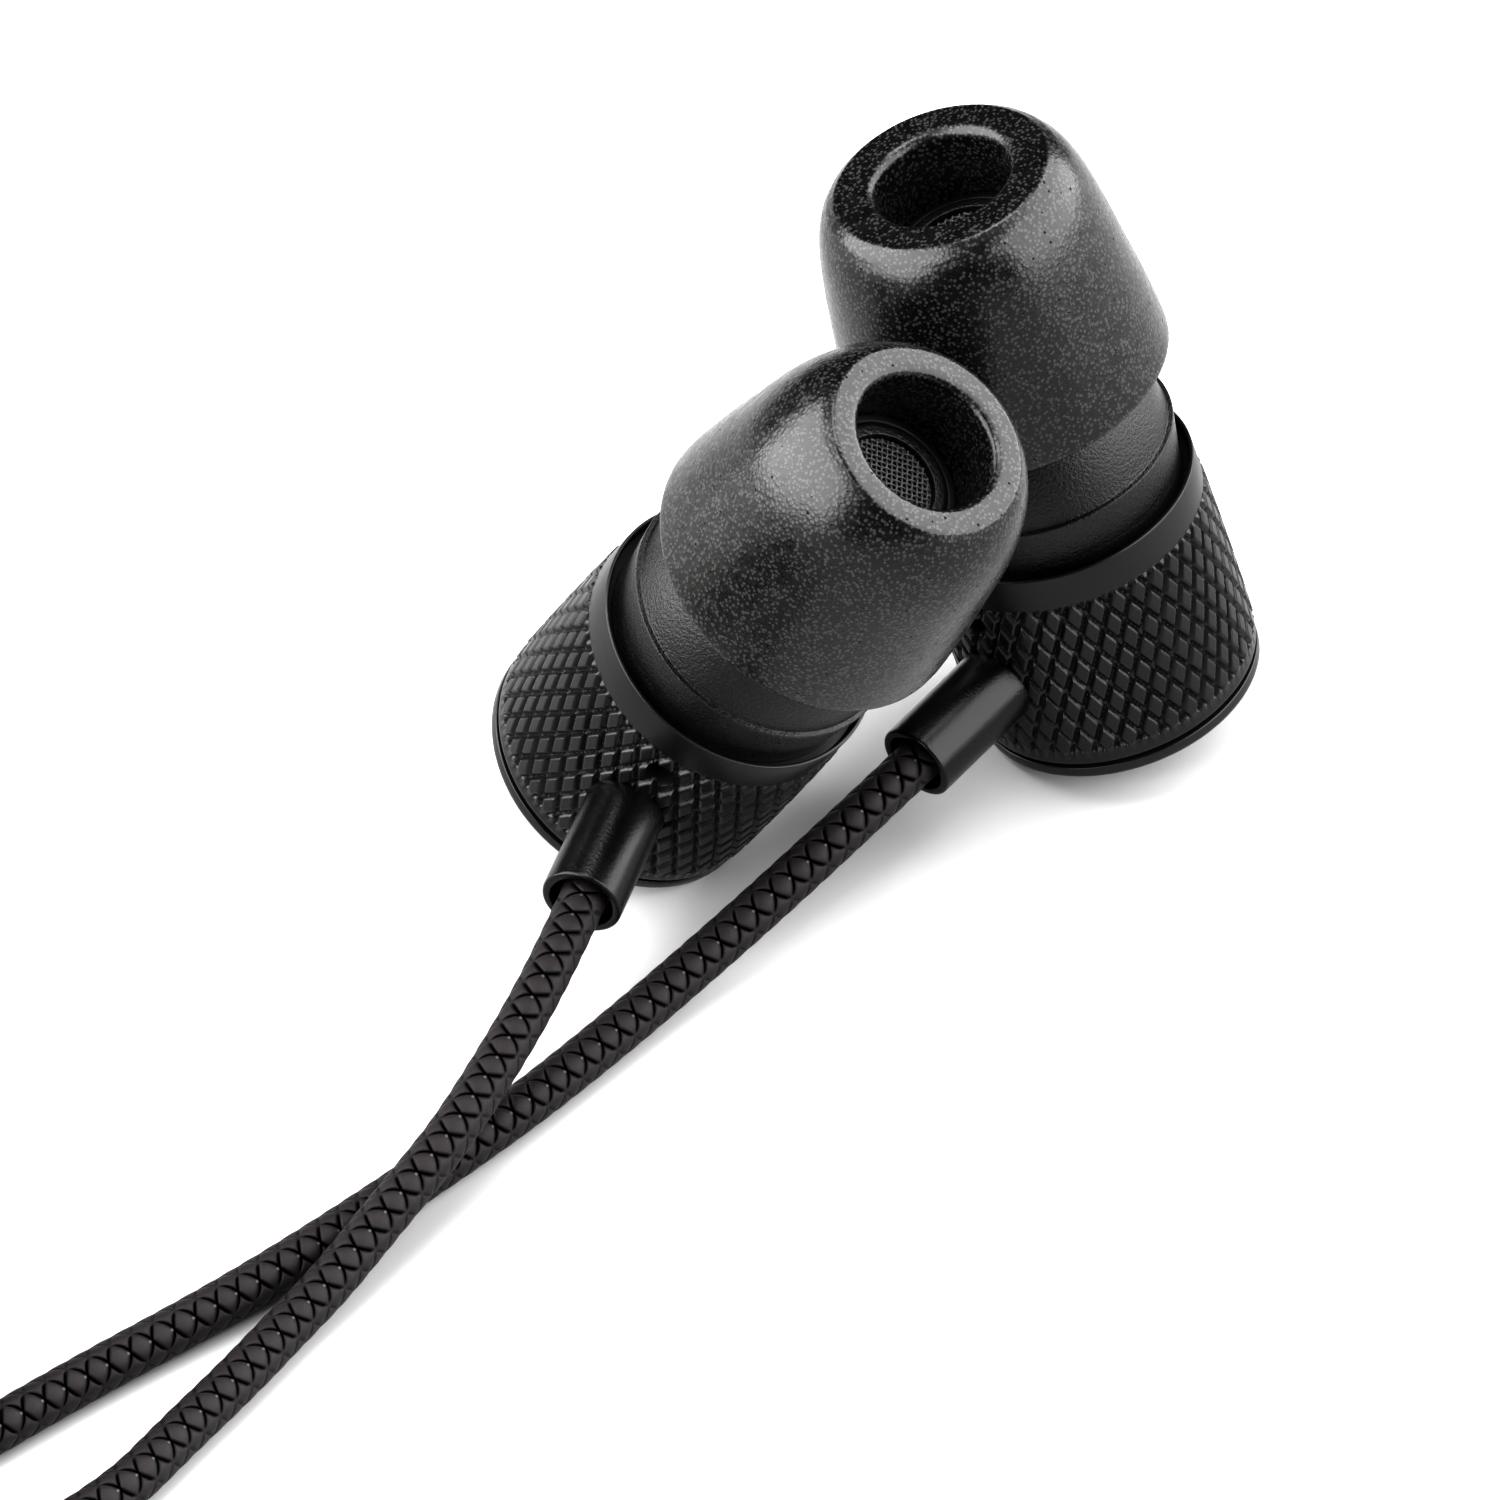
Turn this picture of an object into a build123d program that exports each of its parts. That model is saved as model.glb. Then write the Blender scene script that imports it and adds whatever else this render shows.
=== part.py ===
from build123d import *

import math
import os

# Wired in-ear earphones, in millimetres. The floor is z = 0. The two earpieces stand on the rims of their rear
# caps and lean on each other's side, with the origin on the floor under the middle of the pair. Both cords run
# towards -X and -Y, cross once, and are wound into one tied coil with the rest of the cable and the plug.

# ---- driving dimensions -------------------------------------------------------------------------------------

# Where each earpiece stands: the middle of its rear cap in plan, how far its axis tips from upright, the
# compass heading it tips towards, and the turn about its own axis that points the cord outlet.
STANCE = {
    "left": {"foot": (-10.17, -0.32), "tilt": 32.24, "heading": -33.2, "roll": -73.94},
    "right": {"foot": (9.75, 6.33), "tilt": 16.13, "heading": -179.12, "roll": 47.09},
}

# Earpiece. Heights run along its axis from the outer face of the rear cap.
CAP_R = 5.80  # rear cap
CAP_T = 0.55
CAP_ROUND = 0.25
SEAM = 0.12  # dark joint line between cap and shell
BARREL_R = 5.92  # knurled grip
COLLAR_R = 5.86  # smooth collar in front of the grip
BORE_R = 5.10  # inside of the shell
COLLAR_START = 9.05
SHELL_END = 10.55
GROOVE_BACK, GROOVE_R = 9.95, 5.66  # deep groove between the collar and the front ring
NECK_R, NECK_END = 5.30, 10.85
RING_BACK_R, RING_R, RING_END = 5.34, 5.61, 12.70  # front ring, flaring to a sharp rim
DOME_START_R, DOME_R, DOME_END = 5.42, 4.35, 16.20
NOZZLE_R, NOZZLE_LIP_R, NOZZLE_BORE_R = 2.45, 2.55, 1.72
NOZZLE_ROOT, NOZZLE_LIP, NOZZLE_END = 17.00, 22.40, 23.45
MESH_R, MESH_T, MESH_DEPTH = 1.95, 0.15, 0.35
FIT = 0.03  # radial clearance of glued and pressed spigots
SLIP = 0.05  # radial clearance of the ear tip on the nozzle lip

# Dynamic driver, in the front housing's rear bore.
DRIVER_R = 4.72
DRIVER_BORE_R = 4.75
DRIVER_BACK, FRAME_BACK, FRAME_FRONT = 8.75, 9.40, 12.55
COVER_T, GASKET_T = 0.20, 0.25
YOKE_R, YOKE_BORE_R, YOKE_FLOOR = 3.45, 2.90, 0.55
MAGNET_R, MAGNET_T = 2.35, 1.15
PLATE_R, PLATE_T = 2.45, 0.50

# Cord outlet, square to the earpiece's axis; lengths run outwards from that axis.
OUTLET_HEIGHT = 4.70
SLEEVE_R = 1.63
SLEEVE_END = 10.90
SLEEVE_MOUTH_R, SLEEVE_MOUTH_DEPTH = 1.30, 1.30
FLANGE_R, FLANGE_START, FLANGE_END = 2.20, 4.00, 4.50
CORD_START = 8.00
VENT_HEIGHT, VENT_R = 7.83, 0.40

# Ear tip.
CORE_BORE_R, CORE_R = NOZZLE_LIP_R + SLIP, 3.00
CORE_BACK, CORE_FRONT = 17.90, 23.30
FOAM_BACK, FOAM_FRONT = 16.40, 26.70
FOAM_R, FOAM_FACE_R, FOAM_HOLE_R, FOAM_EDGE = 6.50, 4.28, 3.02, 0.15
FOAM_RECESS_R = 4.75

# Cable.
CORD_R = 0.96
PITCH = 1.95  # from one turn of the coil to the next
COIL_CENTRE = (-52.0, -33.5)
COIL_INNER_R = 6.60
TIE_T, TIE_W = 0.50, 4.00
COIL_BASE = TIE_T
BRANCH_COIL_R = COIL_INNER_R + 4 * PITCH
BRANCH_COIL_TOP = COIL_BASE + 2 * PITCH
MAIN_COIL_R = COIL_INNER_R + 3 * PITCH
MAIN_COIL_TOP = BRANCH_COIL_TOP + 4 * PITCH

SPLITTER_R, SPLITTER_OUT_R, SPLITTER_L = 2.40, 1.50, 12.0
SPLITTER_INLET = (-69.1, -37.0, 2.40)  # it lies on the floor beside the coil and points along +Y

PLUG_BACK = (-75.2, -37.0, 2.80)  # where the cord enters the plug's strain relief; the plug points along +Y
RELIEF_L, RELIEF_BACK_R, RELIEF_R = 7.0, 1.25, 1.95
HANDLE_L, HANDLE_R = 15.0, 2.80
JACK_R, JACK_L = 1.75, 14.0  # 3.5 mm stereo plug
SLEEVE_L, RING_BACK, RING_FRONT, TIP_BACK = 7.20, 7.70, 9.90, 10.40

# Free cords, point by point. Both earpiece cords start inside their cord outlets and run straight out first.
LEFT_ROUTE = [
    (-12.81, -15.02, 4.86),
    (-15.2, -20.1, 5.90),
    (-18.2, -25.9, 5.80),
    (-21.5, -31.6, 3.10),
    (-25.3, -37.0, 0.97),
    (-29.3, -42.3, 0.97),
    (-34.4, -46.0, 0.97),
    (-41.0, -47.6, 1.10),
    (-48.2, -47.2, 1.46),
]
RIGHT_ROUTE = [
    (-0.88, -4.45, 3.32),
    (-5.3, -9.0, 1.70),
    (-10.2, -14.5, 0.97),
    (-16.4, -21.9, 0.97),
    (-23.4, -28.8, 0.97),
    (-30.2, -34.5, 0.97),
    (-36.4, -39.9, 0.97),
    (-43.0, -43.6, 1.15),
    (-50.2, -44.9, 1.46),
]
LEFT_END_ROUTE = [
    (-51.17, -44.98, 3.41),
    (-57.42, -46.07, 3.30),
    (-63.17, -45.37, 2.90),
    (-67.11, -41.68, 2.40),
    (-68.07, -37.00, 2.40),
]
RIGHT_END_ROUTE = [
    (-50.83, -47.02, 3.41),
    (-57.38, -48.13, 3.30),
    (-64.03, -47.23, 2.90),
    (-68.89, -42.72, 2.40),
    (-70.13, -37.00, 2.40),
]
MAIN_START_ROUTE = [
    (SPLITTER_INLET[0], SPLITTER_INLET[1] + SPLITTER_L, 2.40),
    (-69.1, -20.2, 2.70),
    (-66.2, -16.0, 3.50),
    (-60.6, -14.9, 4.50),
    (-54.8, -16.9, 5.20),
    (-50.0, -20.8, 5.36),
    (-45.8, -24.2, 5.36),
]
MAIN_END_ROUTE = [
    (-49.0, -44.6, 11.20),
    (-55.6, -46.6, 9.70),
    (-61.8, -48.2, 7.50),
    (-67.4, -48.8, 5.30),
    (-72.6, -47.2, 3.60),
    (-75.1, -42.8, 2.80),
    PLUG_BACK,
]


# ---- frames -------------------------------------------------------------------------------------------------


def seat_of(foot, tilt, heading, roll):
    """The earpiece's own plane: origin on the cap's outer face, z along its axis, x towards the cord outlet."""
    t, h, r = (math.radians(a) for a in (tilt, heading, roll))
    lean = Vector(math.cos(t) * math.cos(h), math.cos(t) * math.sin(h), -math.sin(t))
    side = Vector(-math.sin(h), math.cos(h), 0)
    axis = Vector(math.sin(t) * math.cos(h), math.sin(t) * math.sin(h), math.cos(t))
    height = (CAP_R - CAP_ROUND) * math.sin(t) + CAP_ROUND * (1 - math.cos(t))
    return Plane((*foot, height), x_dir=lean * math.cos(r) + side * math.sin(r), z_dir=axis)


def section_of(frame):
    """The half section of something turned about a frame's z axis: x is the radius and y the height."""
    return Plane(frame.origin, x_dir=frame.x_dir, z_dir=-frame.y_dir)


def axis_of(frame):
    return Axis(frame.origin, frame.z_dir)


def outlet_of(seat):
    """The cord outlet's frame: z runs outwards along the strain relief."""
    return Plane(seat.from_local_coords((0, 0, OUTLET_HEIGHT)), x_dir=seat.z_dir, z_dir=seat.x_dir)


def save(piece, name):
    piece.part.label = name
    export_step(piece.part, f"parts/{name}.step")


# ---- earpiece housing ---------------------------------------------------------------------------------------


def make_rear_cap(side, seat):
    """Disc with a rounded rim, and a hollow spigot that is glued into the shell."""
    spigot_r, spigot_end = BORE_R - FIT, 1.90
    with BuildPart() as rear_cap:
        with BuildSketch(section_of(seat)):
            with BuildLine():
                Line((0, 0), (CAP_R - CAP_ROUND, 0))
                RadiusArc((CAP_R - CAP_ROUND, 0), (CAP_R, CAP_ROUND), -CAP_ROUND)
                Polyline(
                    (CAP_R, CAP_ROUND),
                    (CAP_R, CAP_T),
                    (spigot_r, CAP_T),
                    (spigot_r, spigot_end),
                    (spigot_r - 0.8, spigot_end),
                    (spigot_r - 0.8, CAP_T + 0.2),
                    (0, CAP_T + 0.2),
                    (0, 0),
                )
            make_face()
        revolve(axis=axis_of(seat))
    save(rear_cap, f"{side}_rear_cap")


def make_body_shell(side, seat):
    """Metal barrel: rounded rear lip, grip, smooth collar, and side holes for the cord outlet and the vent."""
    back, lip_r, grip_start = CAP_T + SEAM, CAP_R, 1.30
    with BuildPart() as body_shell:
        with BuildSketch(section_of(seat)):
            with BuildLine():
                Line((BORE_R, back), (lip_r - 0.2, back))
                RadiusArc((lip_r - 0.2, back), (lip_r, back + 0.2), -0.2)
                Polyline(
                    (lip_r, back + 0.2),
                    (lip_r, grip_start),
                    (BARREL_R, grip_start + 0.12),
                    (BARREL_R, COLLAR_START - 0.1),
                    (COLLAR_R, COLLAR_START),
                    (COLLAR_R, SHELL_END),
                    (GROOVE_R, SHELL_END),
                    (GROOVE_R, GROOVE_BACK),
                    (BORE_R, GROOVE_BACK),
                    (BORE_R, back),
                )
            make_face()
        revolve(axis=axis_of(seat))
        for height, radius in ((OUTLET_HEIGHT, SLEEVE_R + FIT), (VENT_HEIGHT, VENT_R)):
            hole = Plane(seat.from_local_coords((0, 0, height)), x_dir=seat.z_dir, z_dir=seat.x_dir)
            with BuildSketch(hole):
                Circle(radius)
            extrude(amount=BARREL_R + 1, mode=Mode.SUBTRACT)
    save(body_shell, f"{side}_body_shell")


def make_front_housing(side, seat):
    """Spigot, groove, flared ring, rounded front and nozzle in one turned piece, bored through for the sound."""
    driver_stop = FRAME_FRONT + COVER_T + GASKET_T
    mesh_seat = NOZZLE_END - MESH_DEPTH
    with BuildPart() as front_housing:
        with BuildSketch(section_of(seat)):
            with BuildLine():
                Polyline(
                    (BORE_R - FIT, 8.60),
                    (BORE_R - FIT, GROOVE_BACK + FIT),
                    (NECK_R, GROOVE_BACK + FIT),
                    (NECK_R, NECK_END),
                    (RING_BACK_R, NECK_END),
                    (RING_R, RING_END - 0.08),
                    (RING_R, RING_END),
                    (DOME_START_R, RING_END + 0.06),
                )
                Spline(
                    (DOME_START_R, RING_END + 0.06),
                    (5.02, 14.60),
                    (DOME_R, DOME_END),
                    tangents=[(-0.12, 1), (-0.8, 1)],
                )
                Polyline(
                    (DOME_R, DOME_END),
                    (3.60, 16.80),
                    (NOZZLE_R, NOZZLE_ROOT),
                    (NOZZLE_R, NOZZLE_LIP - 0.1),
                    (NOZZLE_LIP_R, NOZZLE_LIP),
                    (NOZZLE_LIP_R, NOZZLE_END),
                    (MESH_R + FIT, NOZZLE_END),
                    (MESH_R + FIT, mesh_seat),
                    (NOZZLE_BORE_R, mesh_seat),
                    (NOZZLE_BORE_R, 15.60),
                    (4.00, driver_stop + 0.20),
                    (4.00, driver_stop),
                    (DRIVER_BORE_R, driver_stop),
                    (DRIVER_BORE_R, 8.60),
                    (BORE_R - FIT, 8.60),
                )
            make_face()
        revolve(axis=axis_of(seat))
    save(front_housing, f"{side}_front_housing")


def make_disc(side, seat, name, radius, bottom, top, bore=0.0):
    """A flat turned disc or ring."""
    with BuildPart() as disc:
        with BuildSketch(seat.offset(bottom)):
            Circle(radius)
            if bore:
                Circle(bore, mode=Mode.SUBTRACT)
        extrude(amount=top - bottom)
    save(disc, f"{side}_{name}")


def make_vent_filter(side, seat):
    """Small disc of damping cloth behind the vent hole."""
    vent = Plane(seat.from_local_coords((0, 0, VENT_HEIGHT)), x_dir=seat.z_dir, z_dir=seat.x_dir)
    with BuildPart() as vent_filter:
        with BuildSketch(vent.offset(4.80)):
            Circle(0.70)
        extrude(amount=0.20)
    save(vent_filter, f"{side}_vent_filter")


# ---- driver -------------------------------------------------------------------------------------------------


def make_driver_cover(side, seat):
    """Perforated front plate that clamps the diaphragm's rim."""
    with BuildPart() as driver_cover:
        with BuildSketch(seat.offset(FRAME_FRONT)):
            Circle(DRIVER_R)
            Circle(0.80, mode=Mode.SUBTRACT)
            with PolarLocations(2.60, 6):
                Circle(0.50, mode=Mode.SUBTRACT)
        extrude(amount=COVER_T)
    save(driver_cover, f"{side}_driver_cover")


def make_driver_frame(side, seat):
    """Plastic basket that carries the magnet and the diaphragm's rim."""
    ledge, ledge_r, rim_r, web = 11.50, 4.00, 4.40, 0.50
    with BuildPart() as driver_frame:
        with BuildSketch(section_of(seat)):
            with BuildLine():
                Polyline(
                    (YOKE_R + FIT, FRAME_BACK),
                    (DRIVER_R, FRAME_BACK),
                    (DRIVER_R, FRAME_FRONT),
                    (rim_r, FRAME_FRONT),
                    (rim_r, ledge),
                    (ledge_r, ledge),
                    (ledge_r, FRAME_BACK + web),
                    (YOKE_R + FIT, FRAME_BACK + web),
                    close=True,
                )
            make_face()
        revolve(axis=axis_of(seat))
    save(driver_frame, f"{side}_driver_frame")


def make_driver_yoke(side, seat):
    """Steel cup around the magnet, with a small hole through its floor."""
    with BuildPart() as driver_yoke:
        with BuildSketch(seat.offset(DRIVER_BACK)):
            Circle(YOKE_R)
        extrude(amount=YOKE_FLOOR + MAGNET_T + PLATE_T)
        with BuildSketch(seat.offset(DRIVER_BACK + YOKE_FLOOR)):
            Circle(YOKE_BORE_R)
        extrude(amount=MAGNET_T + PLATE_T, mode=Mode.SUBTRACT)
        with BuildSketch(seat.offset(DRIVER_BACK)):
            Circle(0.50)
        extrude(amount=YOKE_FLOOR, mode=Mode.SUBTRACT)
    save(driver_yoke, f"{side}_driver_yoke")


def make_diaphragm(side, seat):
    """Thin film: a dome over the voice coil and a half roll out to the clamped rim."""
    film, base, rise = 0.08, 11.60, 0.45
    dome_r, roll_r, rim_r = 2.75, 4.05, 4.36
    with BuildPart() as diaphragm:
        for z, mode in ((base + film, Mode.ADD), (base, Mode.SUBTRACT)):
            with BuildSketch(section_of(seat)):
                with BuildLine():
                    dome = Spline((0, z + rise), (dome_r, z), tangents=[(1, 0), (0.6, -1)])
                    roll = ThreePointArc(dome @ 1, ((dome_r + roll_r) / 2, z + 0.3), (roll_r, z))
                    Polyline(roll @ 1, (rim_r, z), (rim_r, base - 0.1), (0, base - 0.1), dome @ 0)
                make_face()
            revolve(axis=axis_of(seat), mode=mode)
    save(diaphragm, f"{side}_diaphragm")


def make_driver_board(side, seat):
    """Terminal board on the back of the yoke, where the cord's wires are soldered."""
    with BuildPart() as driver_board:
        with BuildSketch(seat.offset(DRIVER_BACK - 0.40)):
            with Locations((2.00, 0)):
                Rectangle(2.20, 2.60)
        extrude(amount=0.40)
    save(driver_board, f"{side}_driver_board")


# ---- cord outlet --------------------------------------------------------------------------------------------


def make_strain_relief(side, seat):
    """Rubber sleeve with a hollow mouth, held by a flange inside the shell."""
    outlet = outlet_of(seat)
    bore = CORD_R + FIT
    with BuildPart() as strain_relief:
        with BuildSketch(section_of(outlet)):
            with BuildLine():
                Polyline(
                    (bore, FLANGE_START),
                    (FLANGE_R, FLANGE_START),
                    (FLANGE_R, FLANGE_END),
                    (SLEEVE_R, FLANGE_END),
                    (SLEEVE_R, SLEEVE_END - 0.15),
                )
                RadiusArc((SLEEVE_R, SLEEVE_END - 0.15), (SLEEVE_R - 0.15, SLEEVE_END), -0.15)
                Polyline(
                    (SLEEVE_R - 0.15, SLEEVE_END),
                    (SLEEVE_MOUTH_R, SLEEVE_END),
                    (SLEEVE_MOUTH_R, SLEEVE_END - SLEEVE_MOUTH_DEPTH),
                    (bore, SLEEVE_END - SLEEVE_MOUTH_DEPTH - 0.2),
                    (bore, FLANGE_START),
                )
            make_face()
        revolve(axis=axis_of(outlet))
    save(strain_relief, f"{side}_strain_relief")


def make_cord_anchor(side, seat):
    """Crimped ferrule on the inner end of the cord, larger than the sleeve's bore so that it can't pull out."""
    outlet = outlet_of(seat)
    with BuildPart() as cord_anchor:
        with BuildSketch(outlet.offset(2.60)):
            Circle(1.50)
        extrude(amount=1.30)
        with BuildSketch(outlet.offset(3.90)):
            Circle(CORD_R)
        extrude(amount=CORD_START - 3.90)
    save(cord_anchor, f"{side}_cord_anchor")


# ---- ear tip ------------------------------------------------------------------------------------------------


def make_tip_core(side, seat):
    """Flexible tube that grips the nozzle."""
    with BuildPart() as tip_core:
        with BuildSketch(section_of(seat)):
            with BuildLine():
                Polyline(
                    (CORE_BORE_R, CORE_BACK),
                    (CORE_R, CORE_BACK),
                    (CORE_R, CORE_FRONT),
                    (CORE_BORE_R + 0.1, CORE_FRONT),
                    (CORE_BORE_R, CORE_FRONT - 0.1),
                    close=True,
                )
            make_face()
        revolve(axis=axis_of(seat))
    save(tip_core, f"{side}_tip_core")


def make_tip_foam(side, seat):
    """Bullet-shaped foam: widest at its rear edge, with a rounded rim round the sound opening."""
    with BuildPart() as tip_foam:
        with BuildSketch(section_of(seat)):
            with BuildLine():
                Polyline(
                    (CORE_R, CORE_FRONT),
                    (CORE_R, CORE_BACK),
                    (FOAM_RECESS_R, CORE_BACK - 0.30),
                    (FOAM_RECESS_R, FOAM_BACK + 0.10),
                    (FOAM_R - 0.25, FOAM_BACK - 0.05),
                )
                RadiusArc((FOAM_R - 0.25, FOAM_BACK - 0.05), (FOAM_R, FOAM_BACK + 0.20), -0.25)
                Spline(
                    (FOAM_R, FOAM_BACK + 0.20),
                    (6.32, 18.60),
                    (5.78, 23.20),
                    (5.10, 25.75),
                    (FOAM_FACE_R, FOAM_FRONT),
                    tangents=[(0, 1), (-1, 0.6)],
                )
                face = Line((FOAM_FACE_R, FOAM_FRONT), (FOAM_HOLE_R + FOAM_EDGE, FOAM_FRONT))
                edge = RadiusArc(face @ 1, (FOAM_HOLE_R, FOAM_FRONT - FOAM_EDGE), -FOAM_EDGE)
                Line(edge @ 1, (CORE_R, CORE_FRONT))
            make_face()
        revolve(axis=axis_of(seat))
    save(tip_foam, f"{side}_tip_foam")


# ---- cable --------------------------------------------------------------------------------------------------


def bend_radii(points):
    """The largest arc that the two runs at each corner leave room for."""
    radii = []
    for before, here, after in zip(points, points[1:], points[2:]):
        arrive, leave = Vector(here) - Vector(before), Vector(after) - Vector(here)
        half_turn = math.radians(arrive.get_angle(leave)) / 2
        radii.append(0.45 * min(arrive.length, leave.length) / math.tan(half_turn))
    return radii


def tube(points):
    """A round cord along a route, as a part, with the length of its centreline."""
    with BuildPart() as cord:
        with BuildLine() as route:
            path = FilletPolyline(*points, radius=bend_radii(points))
        with BuildSketch(Plane(path @ 0, z_dir=path % 0)):
            Circle(CORD_R)
        sweep(path=route.wires()[0])
    return cord, path.length


def make_cord(name, points):
    cord, length = tube(points)
    section = math.pi * CORD_R**2
    print(
        f"{name}: {length:.1f} mm, volume {cord.part.volume:.1f} for {section * length:.1f},"
        f" radii {[round(r, 1) for r in bend_radii(points)]}"
    )
    save(cord, name)


def make_branch_coil():
    """The put-away length of the two earpiece cords."""
    with BuildPart() as branch_coil:
        with BuildSketch(Plane((*COIL_CENTRE, COIL_BASE))):
            Circle(BRANCH_COIL_R)
            Circle(COIL_INNER_R, mode=Mode.SUBTRACT)
        extrude(amount=2 * PITCH)
    save(branch_coil, "branch_coil")


def make_main_coil():
    with BuildPart() as main_coil:
        with BuildSketch(Plane((*COIL_CENTRE, BRANCH_COIL_TOP))):
            Circle(MAIN_COIL_R)
            Circle(COIL_INNER_R, mode=Mode.SUBTRACT)
        extrude(amount=4 * PITCH)
    save(main_coil, "main_coil")


def make_cord_tie():
    """Soft strap closed round the whole bundle of turns on one side of the coil."""
    gap = 0.05
    inside = math.sqrt(COIL_INNER_R**2 - (TIE_W / 2) ** 2) - gap  # clears the ring's curve across the strap
    inner = [
        (inside, COIL_BASE - gap),
        (BRANCH_COIL_R + gap, COIL_BASE - gap),
        (BRANCH_COIL_R + gap, BRANCH_COIL_TOP + gap),
        (MAIN_COIL_R + gap, MAIN_COIL_TOP + gap),
        (inside, MAIN_COIL_TOP + gap),
    ]
    a = math.radians(20)
    outward = Vector(math.cos(a), math.sin(a), 0)
    face = Plane((*COIL_CENTRE, 0), x_dir=outward, z_dir=outward.cross(Vector(0, 0, 1)))
    with BuildPart() as cord_tie:
        with BuildSketch(face):
            with BuildLine():
                Polyline(*inner, close=True)
            make_face()
            offset(amount=TIE_T - gap, kind=Kind.INTERSECTION)
            with BuildLine():
                Polyline(*inner, close=True)
            make_face(mode=Mode.SUBTRACT)
        extrude(amount=TIE_W / 2, both=True)
    save(cord_tie, "cord_tie")


def make_splitter():
    """Moulded Y-piece: two cords in at the wide end, one cord out at the narrow end."""
    splitter = Plane(SPLITTER_INLET, x_dir=(0, 0, 1), z_dir=(0, 1, 0))
    with BuildPart() as y_splitter:
        with BuildSketch(section_of(splitter)):
            with BuildLine():
                Polyline(
                    (0, 0),
                    (SPLITTER_R - 0.3, 0),
                    (SPLITTER_R, 0.3),
                    (SPLITTER_R, 7.5),
                    (SPLITTER_OUT_R, SPLITTER_L - 0.3),
                    (SPLITTER_OUT_R - 0.3, SPLITTER_L),
                    (0, SPLITTER_L),
                    close=True,
                )
            make_face()
        revolve(axis=axis_of(splitter))
    save(y_splitter, "y_splitter")


# ---- plug ---------------------------------------------------------------------------------------------------


def turn_plug_piece(name, frame, outline):
    """A piece turned about the plug's axis, from its (radius, height) outline."""
    with BuildPart() as piece:
        with BuildSketch(section_of(frame)):
            with BuildLine():
                Polyline(*outline, close=True)
            make_face()
        revolve(axis=axis_of(frame))
    save(piece, name)


def make_plug_relief(frame):
    """Tapered strain relief with ring grooves, which ends in a collar inside the handle."""
    with BuildPart() as plug_relief:
        with BuildSketch(section_of(frame)):
            with BuildLine():
                Polyline(
                    (0, 0),
                    (RELIEF_BACK_R, 0),
                    (RELIEF_R, RELIEF_L),
                    (RELIEF_R, RELIEF_L + 2),
                    (0, RELIEF_L + 2),
                    close=True,
                )
            make_face()
        revolve(axis=axis_of(frame))
        with BuildSketch(section_of(frame)):
            for k in range(4):
                with Locations((RELIEF_R, 1.4 + 1.3 * k)):
                    Rectangle(1.5 - 0.2 * k, 0.5)
        revolve(axis=axis_of(frame), mode=Mode.SUBTRACT)
    save(plug_relief, "plug_relief")


def make_plug():
    back = Plane(PLUG_BACK, x_dir=(1, 0, 0), z_dir=(0, 1, 0))
    make_plug_relief(back)
    handle = back.offset(RELIEF_L)
    pocket_r, pocket = 2.05, HANDLE_L - 2.2
    neck_r = 1.55  # the sleeve contact's waist, moulded into the handle's face
    turn_plug_piece(
        "plug_handle",
        handle,
        [
            (RELIEF_R + FIT, 0),
            (HANDLE_R - 0.35, 0),
            (HANDLE_R, 0.35),
            (HANDLE_R, HANDLE_L - 0.3),
            (HANDLE_R - 0.3, HANDLE_L),
            (neck_r + FIT, HANDLE_L),
            (neck_r + FIT, HANDLE_L - 0.8),
            (pocket_r + FIT, HANDLE_L - 0.8),
            (pocket_r + FIT, pocket),
            (0, pocket),
            (0, 2.0),
            (RELIEF_R + FIT, 2.0),
        ],
    )
    jack = back.offset(RELIEF_L + HANDLE_L)
    turn_plug_piece(
        "plug_sleeve_contact",
        jack,
        [
            (1.20, -2.0),
            (pocket_r, -2.0),
            (pocket_r, -0.85),
            (neck_r, -0.85),
            (neck_r, 0),
            (JACK_R, 0),
            (JACK_R, SLEEVE_L),
            (1.20, SLEEVE_L),
        ],
    )
    turn_plug_piece(
        "plug_outer_insulator",
        jack,
        [(0.98, -2.0), (1.18, -2.0), (1.18, SLEEVE_L), (JACK_R, SLEEVE_L), (JACK_R, RING_BACK), (0.98, RING_BACK)],
    )
    turn_plug_piece(
        "plug_ring_contact",
        jack,
        [(0.74, -2.0), (0.96, -2.0), (0.96, RING_BACK), (JACK_R, RING_BACK), (JACK_R, RING_FRONT), (0.74, RING_FRONT)],
    )
    turn_plug_piece(
        "plug_inner_insulator",
        jack,
        [(0.48, -2.0), (0.72, -2.0), (0.72, RING_FRONT), (JACK_R, RING_FRONT), (JACK_R, TIP_BACK), (0.48, TIP_BACK)],
    )
    turn_plug_piece(
        "plug_tip_contact",
        jack,
        [
            (0, -2.0),
            (0.46, -2.0),
            (0.46, TIP_BACK),
            (JACK_R, TIP_BACK),
            (JACK_R, TIP_BACK + 0.5),
            (1.20, TIP_BACK + 1.1),
            (1.20, TIP_BACK + 1.4),
            (1.58, TIP_BACK + 2.0),
            (0.55, JACK_L - 0.1),
            (0.35, JACK_L),
            (0, JACK_L),
        ],
    )


# ---- assembly -----------------------------------------------------------------------------------------------

os.makedirs("parts", exist_ok=True)

ROUTES = {"left": LEFT_ROUTE, "right": RIGHT_ROUTE}

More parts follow.
